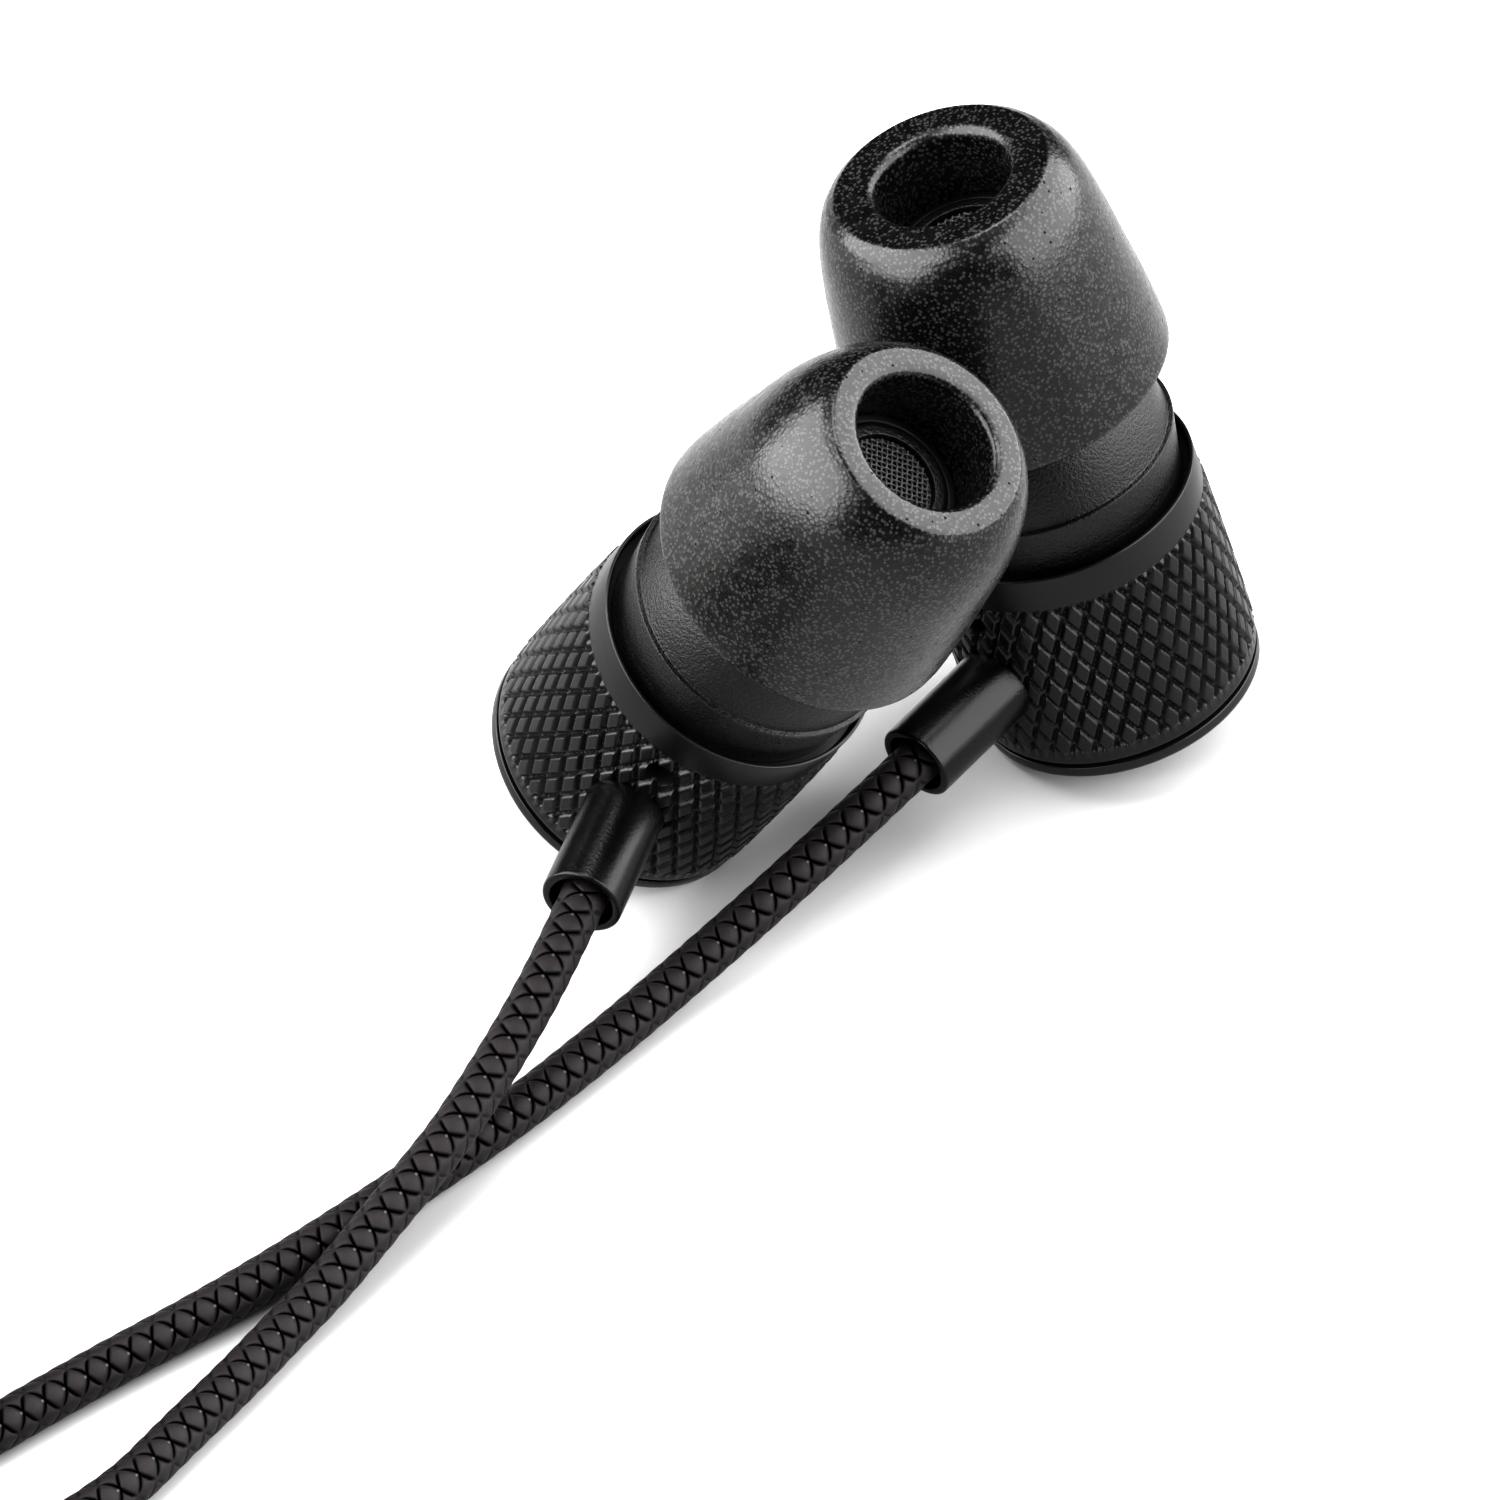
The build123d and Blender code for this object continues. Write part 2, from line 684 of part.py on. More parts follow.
for side, stance in STANCE.items():
    seat = seat_of(**stance)
    make_rear_cap(side, seat)
    make_body_shell(side, seat)
    make_front_housing(side, seat)
    make_disc(side, seat, "nozzle_mesh", MESH_R, NOZZLE_END - MESH_DEPTH, NOZZLE_END - MESH_DEPTH + MESH_T)
    make_disc(side, seat, "driver_gasket", DRIVER_R, FRAME_FRONT + COVER_T, FRAME_FRONT + COVER_T + GASKET_T, 3.90)
    make_driver_cover(side, seat)
    make_driver_frame(side, seat)
    make_driver_yoke(side, seat)
    magnet_back = DRIVER_BACK + YOKE_FLOOR
    make_disc(side, seat, "driver_magnet", MAGNET_R, magnet_back, magnet_back + MAGNET_T, 0.50)
    make_disc(side, seat, "driver_plate", PLATE_R, magnet_back + MAGNET_T, magnet_back + MAGNET_T + PLATE_T, 0.50)
    make_disc(side, seat, "voice_coil", 2.75, 10.30, 11.60, 2.60)
    make_diaphragm(side, seat)
    make_driver_board(side, seat)
    make_vent_filter(side, seat)
    make_strain_relief(side, seat)
    make_cord_anchor(side, seat)
    make_tip_core(side, seat)
    make_tip_foam(side, seat)
    make_cord(f"{side}_cord", [outlet_of(seat).from_local_coords((0, 0, CORD_START)), *ROUTES[side]])

make_branch_coil()
make_cord("left_cord_end", LEFT_END_ROUTE)
make_cord("right_cord_end", RIGHT_END_ROUTE)
make_splitter()
make_cord("main_cord_start", MAIN_START_ROUTE)
make_main_coil()
make_cord("main_cord_end", MAIN_END_ROUTE)
make_cord_tie()
make_plug()
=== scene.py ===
import math

import bpy
import bmesh
import numpy as np
from mathutils import Matrix, Vector


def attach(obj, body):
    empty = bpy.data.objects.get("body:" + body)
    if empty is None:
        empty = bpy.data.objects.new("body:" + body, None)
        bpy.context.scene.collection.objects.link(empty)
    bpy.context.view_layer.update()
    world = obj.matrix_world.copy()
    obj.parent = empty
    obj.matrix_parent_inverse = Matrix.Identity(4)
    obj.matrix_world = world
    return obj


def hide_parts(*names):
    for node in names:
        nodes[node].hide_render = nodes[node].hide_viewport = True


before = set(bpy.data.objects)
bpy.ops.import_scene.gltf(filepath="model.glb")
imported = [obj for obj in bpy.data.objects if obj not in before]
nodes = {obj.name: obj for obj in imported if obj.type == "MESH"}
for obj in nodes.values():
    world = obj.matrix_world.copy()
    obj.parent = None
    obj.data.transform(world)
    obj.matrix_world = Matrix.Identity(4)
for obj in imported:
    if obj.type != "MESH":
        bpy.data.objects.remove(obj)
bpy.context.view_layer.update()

# Wired in-ear earphones. Shapes are given in millimetres and scaled to metres as each mesh is made.
MM = 0.001

STANCE = {
    "left": {"foot": (-10.17, -0.32), "tilt": 32.24, "heading": -33.2, "roll": -73.94},
    "right": {"foot": (9.75, 6.33), "tilt": 16.13, "heading": -179.12, "roll": 47.09},
}
CAP_R, CAP_ROUND = 5.80, 0.25
OUTLET_HEIGHT = 4.70
CORD_START, CORD_OUT, SLEEVE_END = 8.00, 10.40, 10.90  # distances along the outlet from the earpiece's axis
VENT_HEIGHT, VENT_R = 7.83, 0.40
CORD_R = 0.96
STITCH = 1.05  # from one crossed stitch to the next
STITCH_ROWS = 4.0  # rows of crossed stitches round the cord
BOW = 1.35  # how much the threads between two crossings curve
SEEN_LENGTH = 62.0  # of each branch cord, from the earpiece to past the picture's edge
COIL_CENTRE = (-52.0, -33.5)
SPLITTER_AT = (-69.1, -37.0, 2.40)
PLUG_X, PLUG_Z, PLUG_RELIEF_Y, PLUG_HANDLE_Y = -75.2, 2.80, -37.0, -30.0

# ---- camera ------------------------------------------------------------------------------------------------

CAMERA_AT, CAMERA_TILT, LENS = (-0.005081, -0.506063, 0.427842), 50, 400
scene = bpy.context.scene
camera = bpy.data.objects.new("camera", bpy.data.cameras.new("camera"))
camera.data.lens = LENS
camera.data.sensor_width = 36
camera.data.clip_start = 0.01
camera.data.clip_end = 10
camera.location = CAMERA_AT
camera.rotation_euler = (math.radians(CAMERA_TILT), 0, 0)
scene.collection.objects.link(camera)
scene.camera = camera
scene.view_settings.view_transform = "Standard"
scene.view_settings.gamma = 0.70

# ---- mesh helpers ------------------------------------------------------------------------------------------


def make_object(name, verts, faces, angle=32):
    """A mesh piece from points in millimetres, smooth except where faces meet at more than this angle."""
    mesh = bpy.data.meshes.new(name)
    mesh.from_pydata((np.asarray(verts, float) * MM).tolist(), [], faces)
    made = bmesh.new()
    made.from_mesh(mesh)
    bmesh.ops.recalc_face_normals(made, faces=made.faces)
    made.to_mesh(mesh)
    made.free()
    mesh.shade_smooth()
    mesh.set_sharp_from_angle(angle=math.radians(angle))
    piece = bpy.data.objects.new(name, mesh)
    scene.collection.objects.link(piece)
    return piece


def grid_faces(rows, cols, wrap_rows=False):
    """Quads of a grid whose columns go round and close on themselves."""
    i, j = np.meshgrid(np.arange(rows if wrap_rows else rows - 1), np.arange(cols), indexing="ij")
    a, b = i * cols, ((i + 1) % rows) * cols
    k = (j + 1) % cols
    return np.stack([a + j, a + k, b + k, b + j], -1).reshape(-1, 4).tolist()


def place(points, matrix):
    rotation = np.array(matrix.to_3x3())
    return np.asarray(points, float) @ rotation.T + np.array(matrix.translation)


def rounded(points, radius, closed=True, steps=5):
    """The outline with each corner replaced by a small arc. A radius per corner may be given as a list."""
    points = [Vector(p) for p in points]
    n, out = len(points), []
    for i, p in enumerate(points):
        if not closed and i in (0, n - 1):
            out.append(tuple(p))
            continue
        before, after = points[i - 1] - p, points[(i + 1) % n] - p
        turn = before.angle(after)
        r = radius[i] if isinstance(radius, (list, tuple)) else radius
        back = min(r / math.tan(turn / 2), 0.45 * min(before.length, after.length))
        if turn > math.radians(172) or back < 1e-4:
            out.append(tuple(p))
            continue
        a, b = p + before.normalized() * back, p + after.normalized() * back
        for k in range(steps + 1):
            t = k / steps
            out.append(tuple((1 - t) ** 2 * a + 2 * t * (1 - t) * p + t * t * b))
    return out


def smooth_line(points, step):
    """A Catmull-Rom curve through the points, in short even steps."""
    p = np.asarray(points, float)
    p = np.vstack([2 * p[0] - p[1], p, 2 * p[-1] - p[-2]])
    out = []
    for a, b, c, d in zip(p, p[1:], p[2:], p[3:]):
        n = max(2, int(np.linalg.norm(c - b) / step))
        t = np.arange(n)[:, None] / n
        bend = (2 * a - 5 * b + 4 * c - d) * t**2
        out.append(0.5 * (2 * b + (c - a) * t + bend + (3 * b - a - 3 * c + d) * t**3))
    return np.vstack(out + [p[-2:-1]])


def lathe(name, outline, matrix, segments=160, angle=32, shape=None):
    """A turned piece. The outline is a closed (radius, height) loop, or runs from axis to axis."""
    outline = np.asarray(outline, float)
    poles = outline[0][0] < 1e-6 and outline[-1][0] < 1e-6
    ring = outline[1:-1] if poles else outline
    turn = np.arange(segments) * 2 * math.pi / segments
    radius = np.repeat(ring[:, :1], segments, 1)
    height = np.repeat(ring[:, 1:], segments, 1)
    if shape is not None:
        radius, height = shape(radius, height, np.repeat(turn[None], len(ring), 0))
    verts = np.stack([radius * np.cos(turn), radius * np.sin(turn), height], -1).reshape(-1, 3)
    faces = grid_faces(len(ring), segments, wrap_rows=not poles)
    if poles:
        first, last = len(verts), len(verts) + 1
        verts = np.vstack([verts, [0, 0, outline[0][1]], [0, 0, outline[-1][1]]])
        end = (len(ring) - 1) * segments
        for j in range(segments):
            k = (j + 1) % segments
            faces.append([first, k, j])
            faces.append([last, end + j, end + k])
    return make_object(name, place(verts, matrix), faces, angle)


def seat_of(foot, tilt, heading, roll):
    """The earpiece's own frame: origin on the cap's outer face, z along its axis, x to the cord outlet."""
    t, h, r = (math.radians(a) for a in (tilt, heading, roll))
    lean = Vector((math.cos(t) * math.cos(h), math.cos(t) * math.sin(h), -math.sin(t)))
    side = Vector((-math.sin(h), math.cos(h), 0))
    axis = Vector((math.sin(t) * math.cos(h), math.sin(t) * math.sin(h), math.cos(t)))
    height = (CAP_R - CAP_ROUND) * math.sin(t) + CAP_ROUND * (1 - math.cos(t))
    x = lean * math.cos(r) + side * math.sin(r)
    made = Matrix((x, axis.cross(x), axis)).transposed().to_4x4()
    made.translation = (*foot, height)
    return made


SEAT = {side: seat_of(**stance) for side, stance in STANCE.items()}
# The cord outlet's frame: z runs outwards along the sleeve.
OUTWARDS = Matrix(((0, 0, 1), (0, -1, 0), (1, 0, 0))).to_4x4()
OUTLET = {side: seat @ Matrix.Translation((0, 0, OUTLET_HEIGHT)) @ OUTWARDS for side, seat in SEAT.items()}


# ---- materials ---------------------------------------------------------------------------------------------


class Shader:
    """A material's node tree, with short calls for the nodes that the patterns need."""

    def __init__(self, name, **sockets):
        self.material = bpy.data.materials.new(name)
        self.material.use_nodes = True
        self.tree = self.material.node_tree
        self.out = self.tree.nodes["Principled BSDF"]
        for socket, value in sockets.items():
            self.out.inputs[socket.replace("_", " ")].default_value = value

    def node(self, kind, links=(), **values):
        made = self.tree.nodes.new(kind)
        for key, value in values.items():
            setattr(made, key, value)
        for socket, source in dict(links).items():
            if isinstance(source, (int, float, tuple)):
                made.inputs[socket].default_value = source
            else:
                self.tree.links.new(source, made.inputs[socket])
        return made

    def math(self, operation, *args, clamp=False):
        made = self.node("ShaderNodeMath", dict(enumerate(args)), operation=operation, use_clamp=clamp)
        return made.outputs[0]

    def step(self, value, low, high, to_low=0.0, to_high=1.0):
        """A smooth ramp of value from low to high."""
        links = {"Value": value, "From Min": low, "From Max": high, "To Min": to_low, "To Max": to_high}
        return self.node("ShaderNodeMapRange", links, interpolation_type="SMOOTHSTEP").outputs[0]

    def mix(self, share, a, b):
        return self.node("ShaderNodeMix", {0: share, 6: a, 7: b}, data_type="RGBA").outputs[2]

    def where(self):
        return self.node("ShaderNodeTexCoord").outputs["Object"]

    def noise(self, scale, detail=2.0, roughness=0.5, at=None):
        links = {"Scale": scale, "Detail": detail, "Roughness": roughness, "Vector": at or self.where()}
        return self.node("ShaderNodeTexNoise", links).outputs["Fac"]

    def cells(self, scale):
        links = {"Scale": scale, "Vector": self.where()}
        return self.node("ShaderNodeTexVoronoi", links).outputs["Distance"]

    def bump(self, height, strength, distance, over=None):
        links = {"Height": height, "Strength": strength, "Distance": distance}
        if over is not None:
            links["Normal"] = over
        return self.node("ShaderNodeBump", links).outputs[0]

    def to(self, socket, source):
        self.tree.links.new(source, self.out.inputs[socket])

    def use(self, *pieces):
        for piece in pieces:
            piece.data.materials.clear()
            piece.data.materials.append(self.material)
            for polygon in piece.data.polygons:
                polygon.material_index = 0


def grey(value):
    return (value, value, value, 1.0)


def black_finish(name, tone, roughness, grain, grain_scale, specular=0.36, depth=0.00002):
    """A black finish with a fine grain, and slightly uneven in tone and gloss."""
    s = Shader(name, Specular_IOR_Level=specular)
    fine, broad = s.noise(grain_scale, 3.0, 0.6), s.noise(260.0, 3.0, 0.55)
    s.to("Base Color", s.mix(broad, grey(tone * 0.8), grey(tone * 1.3)))
    s.to("Roughness", s.step(broad, 0.3, 0.7, roughness - 0.05, roughness + 0.06))
    s.to("Normal", s.bump(fine, grain, depth))
    return s


def stitched_cord(name):
    """Textile cover with crossed stitches in rows along the cord, from the piece's map of turn and length,
    with painted shade in and beside the stitch grooves and a painted glint at each crossing.
    """
    s = Shader(name, Specular_IOR_Level=0.20, Sheen_Weight=0.03, Sheen_Roughness=0.45)
    s.out.inputs["Sheen Tint"].default_value = grey(0.5)
    uv = s.node("ShaderNodeSeparateXYZ", {"Vector": s.node("ShaderNodeUVMap", uv_map="stitch").outputs[0]})
    across, along = s.math("MULTIPLY", uv.outputs["X"], STITCH_ROWS), uv.outputs["Y"]

    def off_whole(value):
        return s.math("ABSOLUTE", s.math("SUBTRACT", s.math("FRACT", s.math("ADD", value, 0.5)), 0.5))

    side = off_whole(across)
    bow = s.math("MULTIPLY", s.math("POWER", s.math("MULTIPLY", side, 2.0), BOW), 0.5)
    signed = s.math("SUBTRACT", s.math("FRACT", s.math("ADD", across, 0.5)), 0.5)
    bowed = s.math("MULTIPLY", s.math("SIGN", signed), bow)
    one, two = off_whole(s.math("ADD", along, bowed)), off_whole(s.math("SUBTRACT", along, bowed))
    near = s.math("MINIMUM", one, two)
    odd = s.math("MULTIPLY", off_whole(s.math("MULTIPLY", across, 0.5)), 2.0)  # 1 on the side columns
    fade = s.math("MULTIPLY", s.step(side, 0.32, 0.50, 1.0, 0.15), s.step(odd, 0.45, 0.75, 1.0, 0.45))
    # line is painted shade: the stitch grooves painted near black. groove is a wider painted shade fading out
    # from them, and it also shapes the bump below.
    line = s.math("MULTIPLY", s.step(near, 0.050, 0.100, 1.0, 0.0), fade)
    groove = s.math("MULTIPLY", s.step(near, 0.0, 0.17, 1.0, 0.0), fade)
    # Painted glint: a small pale spot just past each crossing, standing in for a highlight; strong on the
    # rows along FACING and its opposite, faint on the side rows.
    up = s.math("MULTIPLY", off_whole(s.math("ADD", along, -0.10)), 1.05)
    aside = s.math("MULTIPLY", side, 1.5)
    spot = s.math("SQRT", s.math("ADD", s.math("POWER", up, 2.0), s.math("POWER", aside, 2.0)))
    painted_glint = s.math("MULTIPLY", s.step(spot, 0.045, 0.085, 1.0, 0.0), s.step(odd, 0.4, 0.6, 1.0, 0.15))
    stretch = s.math("MULTIPLY", uv.outputs["X"], 6.0)
    weave = s.node("ShaderNodeCombineXYZ", {"X": stretch, "Y": along, "Z": 0.0})
    grain = s.noise(26.0, 3.0, 0.6, at=weave.outputs[0])
    pad = s.mix(grain, (0.0060, 0.0044, 0.0046, 1.0), (0.0128, 0.0100, 0.0104, 1.0))
    # Painted shade: the pads are darkened into the stitch grooves and beside them.
    painted_groove_shade = s.math("MAXIMUM", line, s.math("MULTIPLY", groove, 0.55))
    colour = s.mix(painted_groove_shade, pad, (0.0003, 0.0002, 0.0002, 1.0))
    # The painted glint is mixed over the stitch colour.
    s.to("Base Color", s.mix(painted_glint, colour, (0.07, 0.067, 0.067, 1.0)))
    thread = s.step(grain, 0.3, 0.7, 0.50, 0.66)
    s.to("Roughness", s.math("MAXIMUM", thread, line))
    # Metallic follows the painted groove shade, so the painted-dark grooves lose their reflection as well.
    s.to("Metallic", painted_groove_shade)
    deep = s.bump(s.math("SUBTRACT", 1.0, groove), 0.9, 0.00010)
    s.to("Normal", s.bump(grain, 0.25, 0.00004, over=deep))
    return s


# ---- cords -------------------------------------------------------------------------------------------------


def smooth(t):
    t = min(max(t, 0.0), 1.0)
    return t * t * (3 - 2 * t)


def coil_point(p, radius, height):
    """A point of a turn, p degrees clockwise from the side nearest the camera.

    The smooth curve cuts inside its points, so they lie a little further out than the turn's own radius.
    """
    phi = math.radians(270 - p)
    radius /= math.cos(math.radians(10))
    return (COIL_CENTRE[0] + radius * math.cos(phi), COIL_CENTRE[1] + radius * math.sin(phi), height)


def stage_value(p, stages):
    """The value at p where each stage (from, to, value) moves smoothly to its value."""
    value = stages[0][2]
    for start, end, target in stages[1:]:
        value += (target - value) * smooth((p - start) / (end - start))
    return value


ROWS = (7.60, 9.55, 11.50, 13.45)
LAYERS = tuple(1.475 + 1.95 * k for k in range(6))


def branch_turns(radii, heights):
    return [coil_point(p, stage_value(p, radii), stage_value(p, heights)) for p in range(10, 1431, 20)]


LEFT_TURNS = branch_turns(
    [(0, 0, ROWS[3]), (240, 320, ROWS[1]), (640, 690, ROWS[0]), (960, 1040, ROWS[2])],
    [(0, 0, LAYERS[0]), (690, 740, LAYERS[1])],
)
RIGHT_TURNS = branch_turns(
    [(0, 0, ROWS[2]), (240, 320, ROWS[0]), (610, 660, ROWS[1]), (960, 1040, ROWS[3])],
    [(0, 0, LAYERS[0]), (560, 610, LAYERS[1])],
)


def main_turns():
    """Twelve rows in four layers, in, out, in and out again."""
    start, end, points = 214, 345 + 360 * 11, []
    rows = [2, 1, 0, 0, 1, 2, 2, 1, 0, 0, 1, 2]
    layers = [2, 2, 2, 3, 3, 3, 4, 4, 4, 5, 5, 5]
    radii, heights = [(0, 0, ROWS[2])], [(0, 0, LAYERS[2])]
    for k in range(1, 12):
        seam = start + 360 * k
        radii.append((seam - 60, seam, ROWS[rows[k]]))
        heights.append((seam - 125, seam - 65, LAYERS[layers[k]]))
    for p in range(start + 20, end - 10, 20):
        points.append(coil_point(p, stage_value(p, radii), stage_value(p, heights)))
    return points


def outlet_point(side, distance):
    return tuple(OUTLET[side] @ Vector((0, 0, distance)))


LEFT_ROUTE = [
    outlet_point("left", CORD_START),
    outlet_point("left", CORD_OUT),
    (-12.25, -13.55, 5.14),
    (-13.31, -16.25, 4.58),
    (-14.46, -18.60, 3.88),
    (-16.47, -22.58, 3.02),
    (-17.98, -24.87, 2.50),
    (-19.69, -27.32, 1.85),
    (-21.19, -29.53, 1.30),
    (-22.74, -31.65, 1.00),
    (-24.64, -34.70, 0.975),
    (-26.73, -37.76, 0.975),
    (-29.10, -41.46, 0.975),
    (-34.40, -46.00, 0.975),
    (-41.00, -47.60, 1.10),
    (-48.20, -47.20, 1.46),
]
RIGHT_ROUTE = [
    outlet_point("right", CORD_START),
    outlet_point("right", CORD_OUT),
    (-0.21, -3.64, 3.55),
    (-3.70, -7.19, 2.30),
    (-7.22, -10.78, 1.25),
    (-10.76, -15.12, 0.98),
    (-14.78, -19.96, 0.975),
    (-20.49, -25.86, 0.975),
    (-25.34, -30.43, 0.975),
    (-31.00, -35.04, 0.975),
    (-36.40, -39.90, 0.975),
    (-43.00, -43.60, 1.15),
    (-50.20, -44.90, 1.46),
]
LEFT_END_ROUTE = [
    (-51.17, -44.98, 3.41), (-57.42, -46.07, 3.30), (-63.17, -45.37, 2.90), (-67.11, -41.68, 2.40),
    (-68.07, SPLITTER_AT[1], SPLITTER_AT[2]),
]
RIGHT_END_ROUTE = [
    (-50.83, -47.02, 3.41), (-57.38, -48.13, 3.30), (-64.03, -47.23, 2.90), (-68.89, -42.72, 2.40),
    (-70.13, SPLITTER_AT[1], SPLITTER_AT[2]),
]
MAIN_START_ROUTE = [
    (-69.1, -25.0, 2.40), (-69.1, -20.2, 2.70), (-66.2, -16.0, 3.50), (-60.6, -14.9, 4.50),
    (-54.8, -16.9, 5.20), (-50.0, -20.8, 5.36), (-45.8, -24.2, 5.36),
]
MAIN_END_ROUTE = [
    (-49.0, -44.6, 11.20), (-55.6, -46.6, 9.70), (-61.8, -48.2, 7.50), (-67.4, -48.8, 5.30),
    (-72.6, -47.2, 3.60), (-75.1, -42.8, 2.80), (PLUG_X, PLUG_RELIEF_Y, PLUG_Z),
]


def spline_line(name, points):
    """Closely spaced points, in millimetres, along the NURBS curve whose control points are the route's."""
    data = bpy.data.curves.new(name, "CURVE")
    data.dimensions = "3D"
    data.resolution_u = 24
    spline = data.splines.new("NURBS")
    spline.points.add(len(points) - 1)
    for point, (x, y, z) in zip(spline.points, points):
        point.co = (x * MM, y * MM, z * MM, 1)
    spline.order_u = 3
    spline.use_endpoint_u = True
    guide = bpy.data.objects.new(name, data)
    scene.collection.objects.link(guide)
    bpy.context.view_layer.update()
    read = bpy.data.meshes.new_from_object(guide)
    line = np.array([v.co for v in read.vertices], float) / MM
    bpy.data.meshes.remove(read)
    bpy.data.objects.remove(guide)
    keep = np.ones(len(line), bool)
    keep[1:] = np.linalg.norm(np.diff(line, axis=0), axis=1) > 1e-5
    return line[keep]


FACING = np.array([-0.10, -0.766, 0.643])  # the first row of stitches lies on this side of each cord


def cover_radius(along, turn):
    """Puffed pads between the crossed stitches. The pads lie half a stitch further on than the crossings."""
    across = turn / (2 * math.pi) * STITCH_ROWS
    signed = (across + 0.5) % 1 - 0.5
    bowed = np.sign(signed) * 0.5 * np.abs(2 * signed) ** BOW
    one = np.abs((along + bowed + 0.5) % 1 - 0.5) * 2
    two = np.abs((along - bowed + 0.5) % 1 - 0.5) * 2
    pad = (1 - (1 - one) ** 2.2) * (1 - (1 - two) ** 2.2)
    return CORD_R - 0.045 + (0.022 + 0.050 * np.cos(turn) ** 2) * pad


def make_cord_cover(name, points, fine_length):
    """The stitched cord as one closed mesh, finer over its first stretch."""
    line = spline_line(name + "_line", points)
    reach = np.concatenate([[0], np.cumsum(np.linalg.norm(np.diff(line, axis=0), axis=1))])
    total = reach[-1]
    fine_length = STITCH * round(fine_length / STITCH)
    fine = np.arange(0, fine_length - 1e-6, STITCH / 18)
    coarse = np.linspace(fine_length, total, int((total - fine_length) / STITCH * 6) + 1)
    at = np.concatenate([fine, coarse])
    centre = np.stack([np.interp(at, reach, line[:, k]) for k in range(3)], 1)
    ahead = np.stack([np.interp(np.minimum(at + 0.5, total), reach, line[:, k]) for k in range(3)], 1)
    behind = np.stack([np.interp(np.maximum(at - 0.5, 0), reach, line[:, k]) for k in range(3)], 1)
    tangent = ahead - behind
    tangent /= np.linalg.norm(tangent, axis=1)[:, None]
    normal = FACING - tangent * (tangent @ FACING)[:, None]
    normal /= np.linalg.norm(normal, axis=1)[:, None]
    other = np.cross(tangent, normal)
    many, few = 48, 16
    verts, counts = [], []
    for i, s in enumerate(at):
        n = many if i < len(fine) else few
        turn = np.arange(n) * 2 * math.pi / n
        r = cover_radius(s / STITCH, turn)
        up, aside = (r * np.cos(turn))[:, None], (r * np.sin(turn))[:, None]
        verts.append(centre[i] + up * normal[i] + aside * other[i])
        counts.append(n)
    first = np.concatenate([[0], np.cumsum(counts)])
    faces, uvs = [], []

    def corner(i, j):
        return first[i] + j % counts[i], (j / counts[i], at[i] / STITCH)

    def add(*corners):
        faces.append([int(c[0]) for c in corners])
        uvs.extend(c[1] for c in corners)

    for i in range(len(at) - 1):
        if counts[i] == counts[i + 1]:
            for j in range(counts[i]):
                add(corner(i, j), corner(i, j + 1), corner(i + 1, j + 1), corner(i + 1, j))
        else:
            for j in range(few):
                add(corner(i, 3 * j), corner(i, 3 * j + 1), corner(i + 1, j))
                add(corner(i, 3 * j + 1), corner(i, 3 * j + 2), corner(i + 1, j + 1), corner(i + 1, j))
                add(corner(i, 3 * j + 2), corner(i, 3 * j + 3), corner(i + 1, j + 1))
    for i in (0, len(at) - 1):
        around = [corner(i, j) for j in range(counts[i])]
        add(*(around[::-1] if i == 0 else around))
    mesh = bpy.data.meshes.new(name)
    mesh.from_pydata((np.vstack(verts) * MM).tolist(), [], faces)
    layer = mesh.uv_layers.new(name="stitch")
    layer.data.foreach_set("uv", np.array(uvs, np.float32).ravel())
    mesh.shade_smooth()
    piece = bpy.data.objects.new(name, mesh)
    scene.collection.objects.link(piece)
    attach(piece, "earphones")
    return piece, (line * MM).tolist()


cord_finish = stitched_cord("stitched_cord")
left_cover, left_line = make_cord_cover(
    "left_cord_cover", LEFT_ROUTE + LEFT_TURNS + LEFT_END_ROUTE, SEEN_LENGTH
)
right_cover, right_line = make_cord_cover(
    "right_cord_cover", RIGHT_ROUTE + RIGHT_TURNS + RIGHT_END_ROUTE, SEEN_LENGTH
)
main_cover, main_line = make_cord_cover(
    "main_cord_cover", MAIN_START_ROUTE + main_turns() + MAIN_END_ROUTE, 0.0
)
cord_finish.use(left_cover, right_cover, main_cover)
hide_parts("left_cord", "branch_coil", "left_cord_end")
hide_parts("right_cord", "right_cord_end")
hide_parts("main_cord_start", "main_coil", "main_cord_end")

# ---- finishes ----------------------------------------------------------------------------------------------

knurl_finish = black_finish("anodised_grip", 0.003, 0.31, 0.15, 9000.0, 0.31)
turned_finish = black_finish("anodised_turned", 0.0036, 0.30, 0.10, 14000.0)
blasted_finish = black_finish("anodised_blasted", 0.002, 0.30, 1.00, 8000.0, 0.32, depth=0.00005)
moulded_finish = black_finish("satin_moulding", 0.0014, 0.23, 0.60, 9000.0, 0.25)
core_finish = black_finish("silicone_core", 0.0010, 0.50, 0.05, 3000.0, 0.20)


